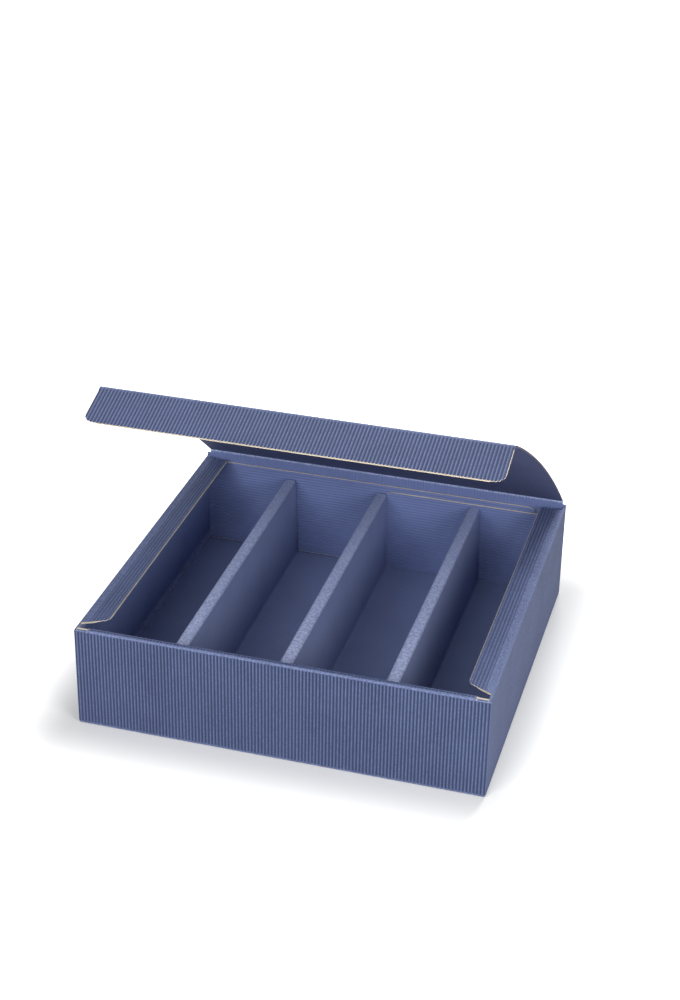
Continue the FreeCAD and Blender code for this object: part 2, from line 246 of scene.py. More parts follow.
@dataclass(frozen=True)
class FoldPath:
    """The outer face of a folded sheet seen end on: straight runs joined by round folds.

    Attributes:
        corners: Corner points of the runs before they are rounded.
        radii: Outer radius of the fold at each inner corner.
        outside: The hand on which the outer face lies.
        arc_steps: Mesh steps in one fold.
    """

    corners: tuple[Pair, ...]
    radii: tuple[float, ...]
    outside: Outside = Outside.RIGHT
    arc_steps: int = 5

    def trace(self) -> Trace:
        """Draws the path out."""
        corners = [Vector(corner) for corner in self.corners]
        headings = [(after - before).normalized() for before, after in zip(corners, corners[1:])]
        points, facing, folds = [corners[0]], [headings[0]], []
        for number, radius in enumerate(self.radii, start=1):
            coming, going = headings[number - 1], headings[number]
            turn = coming.angle(going)
            towards = (going - coming * coming.dot(going)).normalized()
            start = corners[number] - coming * radius * math.tan(turn / 2)
            first = len(points)
            for step in range(self.arc_steps + 1):
                angle = turn * step / self.arc_steps
                onward, inward = math.sin(angle), 1 - math.cos(angle)
                points.append(start + coming * radius * onward + towards * radius * inward)
                facing.append(coming * math.cos(angle) + towards * onward)
            folds.append((first, len(points) - 1))
        points.append(corners[-1])
        facing.append(headings[-1])
        at = np.array([tuple(point) for point in points])
        hand = self.outside.value
        out = np.array([(heading.y * hand, -heading.x * hand) for heading in facing])
        way = np.concatenate([[0.0], np.cumsum(np.linalg.norm(np.diff(at, axis=0), axis=1))])
        return Trace(at, out, way, tuple((float(way[a]), float(way[b])) for a, b in folds))


@dataclass(frozen=True)
class Axes:
    """How a sheet's path plane and its width lie in the frame.

    Attributes:
        first: Direction of the path's first coordinate.
        second: Direction of the path's second coordinate.
        width: Direction across the path.
    """

    first: Vector
    second: Vector
    width: Vector

    def place(self, at: np.ndarray, reach: np.ndarray) -> np.ndarray:
        """Turns path points and distances across the path into points of the frame."""
        flat = at[:, :1] * np.array(self.first) + at[:, 1:] * np.array(self.second)
        return flat + reach[:, None] * np.array(self.width)


BOX_SIDE = Axes(Vector((0, 1, 0)), Vector((0, 0, 1)), Vector((1, 0, 0)))
BOX_FRONT = Axes(Vector((1, 0, 0)), Vector((0, 0, 1)), Vector((0, 1, 0)))
TRAY_BAND = 1.0 * MM  # Beside the tray's folds the ribs rise sooner than on the lid.


@dataclass(frozen=True)
class Finish:
    """Dyed or raw paper.

    Attributes:
        name: Name of the material.
        colour: Colour of the paper.
        shade: Darker colour of its mottling, and of the painted shade laid in the grooves.
        worn_and_highlight: Pale colour of the rib tops and folds, part from rubbing and part painted
            highlight.
        groove: How much painted shade, in the shade colour, the grooves take.
        rib_wear_and_highlight: How much of that pale colour the rib tops take, as rubbing and as painted
            highlight.
        fold_wear_and_highlight: How much of it the folds take, as rubbing and as painted highlight.
        speckle: Size of the pale specks.
        roughness: Roughness of the surface.
        shine: Specular level of the surface.
        fibre: Depth of the paper's fibre grain.
        washboard: Height at which the ribs behind a flat ply show through.
    """

    name: str
    colour: Colour
    shade: Colour
    worn_and_highlight: Colour
    groove: float = 0.0
    rib_wear_and_highlight: float = 0.0
    fold_wear_and_highlight: float = 0.0
    speckle: float = 1.2 * MM
    roughness: float = 0.6
    shine: float = 0.4
    fibre: float = 0.03 * MM
    washboard: float = 0.0

    def material(self, pitch: float) -> bpy.types.Material:
        """Returns the finish's material, which is made once; its washboard has the pitch of the ribs."""
        made = bpy.data.materials.get(self.name)
        return made if made else PaperShader(self, pitch).made


class Nodes:
    """A shader's node tree while it is built."""

    def __init__(self, tree: bpy.types.NodeTree) -> None:
        """Takes the tree that the nodes go into."""
        self.tree = tree

    def add(self, kind: str, **settings: str) -> bpy.types.Node:
        """Adds a node of a kind and makes its settings."""
        node = self.tree.nodes.new("ShaderNode" + kind)
        for name, value in settings.items():
            setattr(node, name, value)
        return node

    def feed(self, socket: bpy.types.NodeSocket, value: object) -> None:
        """Links an input to an output, or sets it to a plain value."""
        if isinstance(value, bpy.types.NodeSocket):
            self.tree.links.new(value, socket)
        else:
            socket.default_value = value

    def math(self, operation: str, first: object, second: object) -> bpy.types.NodeSocket:
        """Adds a Math node and returns its output."""
        node = self.add("Math", operation=operation)
        for socket, value in zip(node.inputs, (first, second)):
            self.feed(socket, value)
        return node.outputs["Value"]

    def ranged(self, value: bpy.types.NodeSocket, source: Pair, result: Pair,
               curve: str = "LINEAR") -> bpy.types.NodeSocket:
        """Maps a value from a source range to a result range, which it doesn't leave."""
        node = self.add("MapRange", interpolation_type=curve)
        self.feed(node.inputs["Value"], value)
        for name, setting in zip(("From Min", "From Max", "To Min", "To Max"), (*source, *result)):
            self.feed(node.inputs[name], setting)
        return node.outputs["Result"]


class PaperShader(Nodes):
    """The node tree of one paper finish. Each noise is a scale and a detail."""

    CLOUD = (26.0, 3.0)
    GRAIN = (1.0 / (0.6 * MM), 4.0)
    SPECK_DETAIL = 2.0
    CLOUD_SHARE = 0.55
    NOISE_SPREAD = (0.3, 0.7)
    MOTTLE = (0.55, 1.0)
    SMOOTHER, ROUGHER = 0.08, 0.1
    SPECK_SPREAD, SPECK_STRENGTH = (0.4, 0.6), (0.25, 1.0)
    # Range of the rib mark over which the painted groove shade fades out, and how narrow the paler rib tops
    # are.
    GROOVE_SHADE_SPREAD = (0.1, 0.85)
    TOP_SHARPNESS = 3.0

    def __init__(self, finish: Finish, pitch: float) -> None:
        """Builds the tree of a finish on board whose ribs have this pitch."""
        self.finish = finish
        self.made = bpy.data.materials.new(finish.name)
        self.made.use_nodes = True
        self.made.diffuse_color = finish.colour
        super().__init__(self.made.node_tree)
        self.surface = self.tree.nodes["Principled BSDF"]
        self.place = self.add("TexCoord").outputs["Object"]
        cloud, grain = self.noise(*self.CLOUD), self.noise(*self.GRAIN)
        patches = self.math(
            "ADD", self.scaled(cloud, self.CLOUD_SHARE), self.scaled(grain, 1 - self.CLOUD_SHARE))
        mottled = self.mix(self.ranged(patches, self.NOISE_SPREAD, self.MOTTLE), finish.shade, finish.colour)
        roughness = (finish.roughness - self.SMOOTHER, finish.roughness + self.ROUGHER)
        for name, value in (
                ("Base Color", self.wear_and_painted_light(mottled)), ("Specular IOR Level", finish.shine),
                ("Roughness", self.ranged(grain, self.NOISE_SPREAD, roughness)),
                ("Normal", self.relief(grain, pitch))):
            self.feed(self.surface.inputs[name], value)

    def scaled(self, value: bpy.types.NodeSocket, factor: float) -> bpy.types.NodeSocket:
        """Multiplies a value by a factor."""
        return self.math("MULTIPLY", value, factor)

    def noise(self, scale: float, detail: float) -> bpy.types.NodeSocket:
        """Adds a noise on the piece's own coordinates and returns its factor."""
        node = self.add("TexNoise")
        for name, value in (("Vector", self.place), ("Scale", scale), ("Detail", detail)):
            self.feed(node.inputs[name], value)
        return node.outputs["Fac"]

    def mark(self, name: str) -> bpy.types.NodeSocket:
        """Reads one of the mesh's marks."""
        return self.add("Attribute", attribute_name=name).outputs["Fac"]

    def mix(self, factor: bpy.types.NodeSocket, first: object, second: object) -> bpy.types.NodeSocket:
        """Mixes two colours, each a colour or a socket, by the share of the second."""
        node = self.add("Mix", data_type="RGBA")
        self.feed(node.inputs["Factor"], factor)
        for name, value in (("A", first), ("B", second)):
            self.feed(next(one for one in node.inputs if one.name == name and one.type == "RGBA"), value)
        return next(one for one in node.outputs if one.type == "RGBA")

    def wear_and_painted_light(self, paper: bpy.types.NodeSocket) -> bpy.types.NodeSocket:
        """Lays painted shade in the grooves of the mottled paper, makes its rib tops and folds paler, part
        from rubbing and part as painted highlight, and frays its edges.
        """
        finish = self.finish
        if not (finish.rib_wear_and_highlight or finish.fold_wear_and_highlight):
            return paper
        rib, pressed = self.mark(RIB_MARK), self.mark(PRESSED_MARK)
        speck = self.noise(1.0 / finish.speckle, self.SPECK_DETAIL)
        specks = self.ranged(speck, self.SPECK_SPREAD, self.SPECK_STRENGTH)
        unpressed = self.math("SUBTRACT", 1.0, pressed)
        # Painted shade: the grooves take the shade colour, less where a fold presses them flat.
        groove = self.ranged(rib, self.GROOVE_SHADE_SPREAD, (finish.groove, 0.0))
        groove_shaded = self.mix(self.math("MULTIPLY", groove, unpressed), paper, finish.shade)
        # Paler rib tops and folds: part rubbing, part painted highlight.
        top = self.scaled(self.math("POWER", rib, self.TOP_SHARPNESS), finish.rib_wear_and_highlight)
        rubbed_and_highlit = self.math("ADD", top, self.scaled(pressed, finish.fold_wear_and_highlight))
        share = self.math("MINIMUM", self.math("MULTIPLY", rubbed_and_highlit, specks), 1.0)
        return self.mix(self.mark(FRAY_MARK), self.mix(share, groove_shaded, finish.worn_and_highlight), RAW_PAPER)

    def relief(self, grain: bpy.types.NodeSocket, pitch: float) -> bpy.types.NodeSocket:
        """Makes the bump of the fibre grain, and of the washboard where the finish has one."""
        height = self.scaled(grain, self.finish.fibre)
        if self.finish.washboard:
            sheet_map = self.add("UVMap", uv_map=BOARD_MAP)
            split = self.add("SeparateXYZ")
            self.feed(split.inputs["Vector"], sheet_map.outputs["UV"])
            wave = self.math("COSINE", self.scaled(split.outputs["X"], 2 * math.pi / pitch), 0.0)
            height = self.math("ADD", height, self.scaled(wave, self.finish.washboard / 2))
        bump = self.add("Bump")
        self.feed(bump.inputs["Distance"], 1.0)
        self.feed(bump.inputs["Height"], height)
        return bump.outputs["Normal"]


RAW_PAPER = ink(228, 216, 192)
# Outer ply: its grooves take painted shade, and its rib tops and folds are paler, part from rubbing and part
# as painted highlight.
RIBBED_NAVY = Finish(
    "ribbed_navy", ink(75, 87, 123), ink(29, 37, 64), ink(132, 144, 184),
    groove=0.7, rib_wear_and_highlight=0.4, fold_wear_and_highlight=0.5, roughness=0.6, shine=0.25)
# Liner of the tray's insides: the navy painted lighter, to stand for the light inside the tray; its folds,
# the hinge band most, are paler, part from rubbing and part as painted highlight.
LINER_NAVY_PAINTED_LIGHTER = Finish(
    "liner_navy_painted_lighter", ink(104, 118, 164), ink(78, 90, 134), ink(170, 180, 212),
    fold_wear_and_highlight=1.5, roughness=0.65, shine=0.25, washboard=0.3 * MM)
# Liner under the lid: the navy painted darker, as painted shade under the lid.
LID_NAVY_PAINTED_SHADE = Finish(
    "lid_navy_painted_shade", ink(72, 79, 114), ink(58, 65, 96), ink(104, 112, 146),
    fold_wear_and_highlight=0.25, roughness=0.65, shine=0.25, washboard=0.05 * MM)
# Insert: the navy painted lighter, to stand for the light inside the box; its grooves take a little painted
# shade and its ridge tops are paler, part from rubbing and part as painted highlight.
INSERT_NAVY_PAINTED_LIGHTER = Finish(
    "insert_navy_painted_lighter", ink(122, 134, 174), ink(98, 110, 146), ink(170, 178, 206),
    groove=0.15, rib_wear_and_highlight=0.1, fold_wear_and_highlight=0.8, speckle=2.6 * MM, roughness=0.7, shine=0.25)
RAW_EDGE = Finish(
    "raw_edge", RAW_PAPER, ink(206, 192, 166), RAW_PAPER, roughness=0.8, shine=0.2)
DULL_EDGE = Finish(
    "dull_edge", ink(120, 120, 128), ink(90, 92, 108), ink(120, 120, 128), roughness=0.8, shine=0.2)
RAW_INSIDE = Finish(
    "raw_inside", ink(150, 140, 124), ink(120, 112, 100), ink(150, 140, 124), roughness=0.85, shine=0.2)

Skins = tuple[Finish, Finish, Finish]  # Finishes of a ply's outer skin, inner skin and cut edges.
Face = Callable[[np.ndarray, np.ndarray], tuple[np.ndarray, np.ndarray]]


@dataclass
class Panel:
    """One run of board, as a function from the sheet's own measures to its outer face in the frame.

    Attributes:
        name: Name of the panel, which its plies' names start with.
        board: The board that it is cut from.
        face: Gives outer-face points and outward directions for places across and along the ribs.
        across: Reach of the panel across its ribs.
        along: Stations along its ribs.
        trim: Gives the start and end along the ribs for places across them, where it isn't straight.
        folds_across: Folds that run with the ribs, as ranges across them.
        folds_along: Folds that run over the ribs, as ranges along them.
        cuts: How the panel ends beside its first and its last rib.
        full: Height of the ribs, as a share of the board's.
    """

    name: str
    board: Board
    face: Face
    across: Pair
    along: np.ndarray
    trim: Callable[[np.ndarray], tuple[np.ndarray, np.ndarray]] | None = None
    folds_across: tuple[Pair, ...] = ()
    folds_along: tuple[Pair, ...] = ()
    cuts: tuple[Cut, Cut] = (Cut.OPEN, Cut.OPEN)
    full: float = 1.0

    def sides(self, across: np.ndarray) -> tuple[tuple[np.ndarray, Cut], ...]:
        """Gives the distances from the first and the last rib, each with how the panel ends there."""
        return (across - self.across[0], self.cuts[0]), (self.across[1] - across, self.cuts[1])

    def fray(self, across: np.ndarray) -> np.ndarray:
        """Tells where the paper is frayed by the knife along the outermost ribs, from 0 to 1."""
        level = np.zeros(len(across))
        for near, cut in self.sides(across):
            if cut is Cut.OPEN:
                level = np.maximum(level, near < self.board.fray)
        return level

    def pressed(self, across: np.ndarray, along: np.ndarray) -> np.ndarray:
        """Tells how far each place is pressed flat by a fold, from 0 to 1."""
        band = self.board.band
        return np.maximum(nearness(across, self.folds_across, band), nearness(along, self.folds_along, band))

    def grid(self, name: str, columns: int) -> tuple[bpy.types.Mesh, np.ndarray, np.ndarray]:
        """Makes a flat grid mesh and gives its vertices' places across and along the ribs."""
        last = len(self.along) - 1
        mesh = grid_mesh(name, columns, last, GRID_HALF)
        flat = np.empty(len(mesh.vertices) * 3, np.float64)
        mesh.vertices.foreach_get("co", flat)
        share = flat.reshape(-1, 3) + GRID_HALF
        across = self.across[0] + share[:, 0] * (self.across[1] - self.across[0])
        along = self.along[np.clip(np.round(share[:, 1] * last).astype(int), 0, last)]
        if self.trim:
            start, end = self.trim(across)
            along = start + (along - self.along[0]) / (self.along[-1] - self.along[0]) * (end - start)
        return mesh, across, along

    def finished(self, mesh: bpy.types.Mesh, across: np.ndarray, along: np.ndarray, depth: np.ndarray | float,
                 thickness: float, marks: dict[str, np.ndarray], finishes: Skins) -> bpy.types.Object:
        """Puts the vertices in place, gives the ply its thickness and dresses it.

        Args:
            mesh: The grid mesh.
            across: Places of its vertices across the ribs.
            along: Their places along the ribs.
            depth: How far the ply's outer skin lies under the panel's face there.
            thickness: Thickness of the ply, which goes inwards.
            marks: Marks for the materials, by name.
            finishes: Its finishes.
        """
        points, out = self.face(across, along)
        points = points - out * np.reshape(depth, (-1, 1))
        mesh.vertices.foreach_set("co", points.astype(np.float32).ravel())
        mesh.update()
        first = mesh.polygons[0]
        if first.normal.dot(Vector(out[first.vertices[0]])) < 0:
            mesh.flip_normals()
        loops = np.empty(len(mesh.loops), np.int32)
        mesh.loops.foreach_get("vertex_index", loops)
        places = np.stack([across, along], axis=1)[loops].astype(np.float32)
        mesh.uv_layers.new(name=BOARD_MAP).data.foreach_set("uv", places.ravel())
        for name, values in marks.items():
            mesh.attributes.new(name, "FLOAT", "POINT").data.foreach_set("value", values.astype(np.float32))
        for finish in finishes:
            mesh.materials.append(finish.material(self.board.pitch))
        ply = added(mesh.name, mesh)
        wall = ply.modifiers.new("paper", "SOLIDIFY")
        wall.thickness = thickness
        wall.offset = -1
        wall.use_even_offset = True
        wall.material_offset, wall.material_offset_rim = 1, 2
        return applied(ply)

    def fluted_ply(self, finishes: Skins) -> bpy.types.Object:
        """Builds the wavy outer ply."""
        board = self.board
        width = self.across[1] - self.across[0]
        columns = max(2, round(width / board.pitch * board.facets))
        mesh, across, along = self.grid(self.name + "_ribs", columns)
        rib, pressed = board.rib(across), self.pressed(across, along)
        standing = 1 - (1 - board.pressed_height) * pressed
        height = self.full * standing
        depth = board.rise * (1 - rib) * height * board.evenness(across, along)
        depth += board.pressed_drop * pressed + board.rise / 2 * (1 - self.full) * (1 - pressed)
        for near, cut in self.sides(across):
            if cut is Cut.OPEN:
                knife = 1 - ease(near / board.knife)
                depth = np.maximum(depth, board.rise * board.knife_depth * knife)
            elif cut is Cut.WRAPPED:
                depth = np.maximum(depth, rounding(near, board.thickness))
        # The rib mark drives the painted groove shade and the paler rib tops; lower ribs and pressed folds
        # get less of both.
        shown = (1 - (1 - rib) * self.full) * standing
        marks = {RIB_MARK: shown, PRESSED_MARK: pressed, FRAY_MARK: self.fray(across)}
        return self.finished(mesh, across, along, depth, board.wave, marks, finishes)

    def liner_ply(self, finishes: Skins, column: float) -> bpy.types.Object:
        """Builds the flat inner ply, with mesh steps of a column's width across the ribs."""
        board = self.board
        width = self.across[1] - self.across[0]
        mesh, across, along = self.grid(self.name + "_liner", max(2, round(width / column)))
        marks = {RIB_MARK: np.zeros(len(across)), PRESSED_MARK: self.pressed(across, along),
                 FRAY_MARK: self.fray(across)}
        depth = board.thickness - board.liner
        return self.finished(mesh, across, along, depth, board.liner, marks, finishes)

    def plies(self, outer: Skins, liner: Skins, column: float = 12 * MM) -> list[bpy.types.Object]:
        """Builds the wavy ply and the flat one, each with its finishes."""
        return [self.fluted_ply(outer), self.liner_ply(liner, column)]


def applied(piece: bpy.types.Object) -> bpy.types.Object:
    """Applies a piece's modifiers and shades it smooth apart from its sharp edges."""
    graph = bpy.context.evaluated_depsgraph_get()
    before = piece.data
    piece.data = bpy.data.meshes.new_from_object(piece.evaluated_get(graph))
    piece.data.name = piece.name
    piece.modifiers.clear()
    bpy.data.meshes.remove(before)
    piece.data.polygons.foreach_set("use_smooth", np.ones(len(piece.data.polygons), bool))
    piece.data.set_sharp_from_angle(angle=SHARP_EDGE)
    return piece


OUTER_SKINS = (RIBBED_NAVY, RAW_INSIDE, RAW_EDGE)
LINER_SKINS = (RAW_INSIDE, LINER_NAVY_PAINTED_LIGHTER, RAW_EDGE)
FOLDED_OUTER = (RIBBED_NAVY,) * 3
FOLDED_LINER = (LINER_NAVY_PAINTED_LIGHTER,) * 3
LID_OUTER = (RIBBED_NAVY, RAW_INSIDE, DULL_EDGE)
LID_LINER = (RAW_INSIDE, LID_NAVY_PAINTED_SHADE, DULL_EDGE)


def swept(trace: Trace, axes: Axes, ribs_follow: bool) -> Face:
    """Gives the outer face of a sheet on a path.

    Args:
        trace: The path.
        axes: Where the path's plane lies.
        ribs_follow: True where the ribs follow the path, False where they run across it.

    Returns:
        The face, as a function of places across and along the ribs.
    """

    def face(across: np.ndarray, along: np.ndarray) -> tuple[np.ndarray, np.ndarray]:
        """Reads the face at places across and along the ribs."""
        way, reach = (along, across) if ribs_follow else (across, along)
        at, out = trace.read(way)
        return axes.place(at, reach), axes.place(out, np.zeros(len(out)))

    return face


@dataclass
class BoxSizes:
    """Sizes of the box that its pieces share, in the frame's own axes.

    Attributes:
        half_width: Half of the outer width.
        half_depth: Half of the outer depth.
        wall_height: Height of the front and side walls.
        hinge_height: Height of the lid's crease.
        front_wall_depth: Depth of the rolled-over front wall.
        fold: Outer radius of a fold.
    """

    half_width: float
    half_depth: float
    wall_height: float = 99 * MM
    hinge_height: float = 105 * MM
    front_wall_depth: float = 6.6 * MM
    fold: float = 2.0 * MM


@dataclass
class Tray:
    """Base, rolled-over front wall, back wall, side walls with dust flaps, and their tabs."""

    sizes: BoxSizes
    board: Board
    hinge_strip: float = 4.5 * MM
    flap_width: float = 24 * MM
    flap_front: float = 11.5 * MM
    flap_slant: float = 11 * MM
    flap_back: float = 9 * MM
    flap_round: float = 4 * MM
    smooth_band: float = 6 * MM
    flap_ribs: float = 0.45
    roll_cut: float = 12 * MM
    front_tab_length: float = 95 * MM
    long_tab_length: float = 340 * MM
    long_tab_top: float = 93.5 * MM
    short_tab_length: float = 180 * MM
    short_tab_top: float = 88 * MM
    tab_column: float = 0.35 * MM
    tab_rows: int = 9
    flap_rows: int = 7
    strip_step: float = 60 * MM
    wall_rows: tuple[float, ...] = (-1, -0.988, -0.975, -0.6, -0.2, 0.2, 0.6, 0.975, 0.988, 1)
    side_ribs: float = 0.5
    tab_foot: float = 2.8 * MM
    tab_round: float = 9 * MM
    tab_gap: float = 0.3 * MM
    shoulder_drop: float = 0.6 * MM

    def build(self) -> list[bpy.types.Object]:
        """Builds every piece of the tray."""
        pieces = self.strip()
        for hand, name in ((1, "right"), (-1, "left")):
            pieces += self.side_wall(hand, name)
            pieces += self.front_tab(hand, name)
        layer = self.board.thickness + self.tab_gap
        behind = self.sizes.half_depth - layer
        pieces += self.tab("long_back_tab", -1, (0.0, self.long_tab_length), self.long_tab_top, behind)
        pieces += self.tab(
            "short_back_tab", 1, (0.0, self.short_tab_length), self.short_tab_top, behind - layer)
        for piece in pieces:
            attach(piece, "tray_body")
        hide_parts("tray")
        return pieces

    def strip(self) -> list[bpy.types.Object]:
        """Builds the sheet from the front wall's inner panel to the foot of the hinge."""
        size = self.sizes
        front, back = -size.half_depth, size.half_depth
        inner = front + size.front_wall_depth
        path = FoldPath(
            ((inner, self.board.thickness), (inner, size.wall_height), (front, size.wall_height),
             (front, 0.0), (back, 0.0), (back, size.hinge_height - self.hinge_strip)),
            (size.fold,) * 4)
        trace = path.trace()
        face = swept(trace, BOX_SIDE, True)
        rows = trace.stations(self.strip_step, self.board.band)
        roll_end = trace.folds[1][1]
        roll_half = size.half_width - self.roll_cut
        roll = Panel(
            "front_roll", self.board, face, (-roll_half, roll_half), rows[rows <= roll_end + TINY],
            folds_along=trace.folds)
        rest = Panel(
            "wall_and_base", self.board, face, (-size.half_width, size.half_width),
            rows[rows >= roll_end - TINY], folds_along=trace.folds, cuts=(Cut.WRAPPED, Cut.WRAPPED))
        return rest.plies(FOLDED_OUTER, FOLDED_LINER) + roll.plies(FOLDED_OUTER, FOLDED_LINER)

    def side_wall(self, hand: int, name: str) -> list[bpy.types.Object]:
        """Builds a side wall with its dust flap, for a hand of 1 at the right or -1 at the left."""
        size = self.sizes
        side, thick = size.half_width * hand, self.board.thickness
        path = FoldPath(
            ((side, thick), (side, size.wall_height), (side - self.flap_width * hand, size.wall_height)),
            (size.fold,), Outside.RIGHT if hand > 0 else Outside.LEFT)
        trace = path.trace()
        face = swept(trace, BOX_FRONT, False)
        fold_start, fold_end = trace.folds[0]
        wall_end = size.half_depth - thick
        wall = Panel(
            name + "_wall", self.board, face, (0.0, fold_end), np.array(self.wall_rows) * wall_end,
            folds_across=((fold_start, fold_end), (-FAR, 0.0)),
            folds_along=((-FAR, -wall_end), (wall_end, FAR)), cuts=(Cut.PLAIN, Cut.PLAIN),
            full=self.side_ribs)
        flap_end = trace.length
        rows = np.linspace(-1, 1, self.flap_rows) * wall_end
        flap = Panel(
            name + "_dust_flap", self.board, face, (fold_end, flap_end), rows,
            trim=lambda across: self.flap_ends(flap_end - across),
            folds_across=((fold_start, fold_end + self.smooth_band),), cuts=(Cut.PLAIN, Cut.OPEN),
            full=self.flap_ribs)
        return wall.plies(FOLDED_OUTER, FOLDED_LINER) + flap.plies(OUTER_SKINS, LINER_SKINS)

    def flap_ends(self, from_edge: np.ndarray) -> tuple[np.ndarray, np.ndarray]:
        """Gives where a dust flap starts and ends along the depth, at distances from its inner edge."""
        depth = self.sizes.half_depth
        width = self.flap_width - self.sizes.fold
        corner = rounding(from_edge, self.flap_round)
        slant = self.flap_slant * (1 - np.clip(from_edge / width, 0, 1))
        return self.flap_front - depth + slant + corner, depth - self.flap_back - corner

    def front_tab(self, hand: int, name: str) -> list[bpy.types.Object]:
        """Builds the side wall's tab inside the hollow front wall, and its shoulder beside the roll."""
        face = -self.sizes.half_depth + self.board.thickness * 2 + self.tab_gap
        top = self.sizes.wall_height
        return (
            self.tab(name + "_front_tab", hand, (self.roll_cut, self.front_tab_length),
                     top - self.tab_foot, face, toward_back=False)
            + self.tab(name + "_tab_shoulder", hand, (0.0, self.roll_cut), top - self.shoulder_drop, face,
                       toward_back=False, rounded=False))

    def tab(self, name: str, hand: int, reach: Pair, top: float, face: float, toward_back: bool = True,
            rounded: bool = True) -> list[bpy.types.Object]:
        """Builds a tab that starts at a side wall's inner face.

        Args:
            name: Name of the tab.
            hand: 1 for a tab of the right wall, -1 for the left.
            reach: Where it starts and ends, from the wall.
            top: Height of its upper edge.
            face: Place of its side that faces backwards.
            toward_back: True where its ribbed face looks backwards.
            rounded: True where its upper corner is rounded.
        """
        thick = self.board.thickness
        wall = (self.sizes.half_width - thick) * hand
        outer, look = (face, 1.0) if toward_back else (face - thick, -1.0)

        def plane(across: np.ndarray, along: np.ndarray) -> tuple[np.ndarray, np.ndarray]:
            """Reads the tab's ribbed face at heights and distances from its wall."""
            points = np.stack([wall - along * hand, np.full(len(along), outer), across], axis=1)
            return points, np.tile(np.array([0.0, look, 0.0]), (len(along), 1))

        def ends(height: np.ndarray) -> tuple[np.ndarray, np.ndarray]:
            """Gives the tab's ends at heights, with its upper corner rounded where it is asked for."""
            corner = rounding(top - height, self.tab_round if rounded else 0.0)
            return np.full(len(height), reach[0]), reach[1] - corner

        rows = np.linspace(*reach, self.tab_rows)
        panel = Panel(name, self.board, plane, (self.tab_foot, top), rows, trim=ends)
        return panel.plies(OUTER_SKINS, LINER_SKINS, self.tab_column)


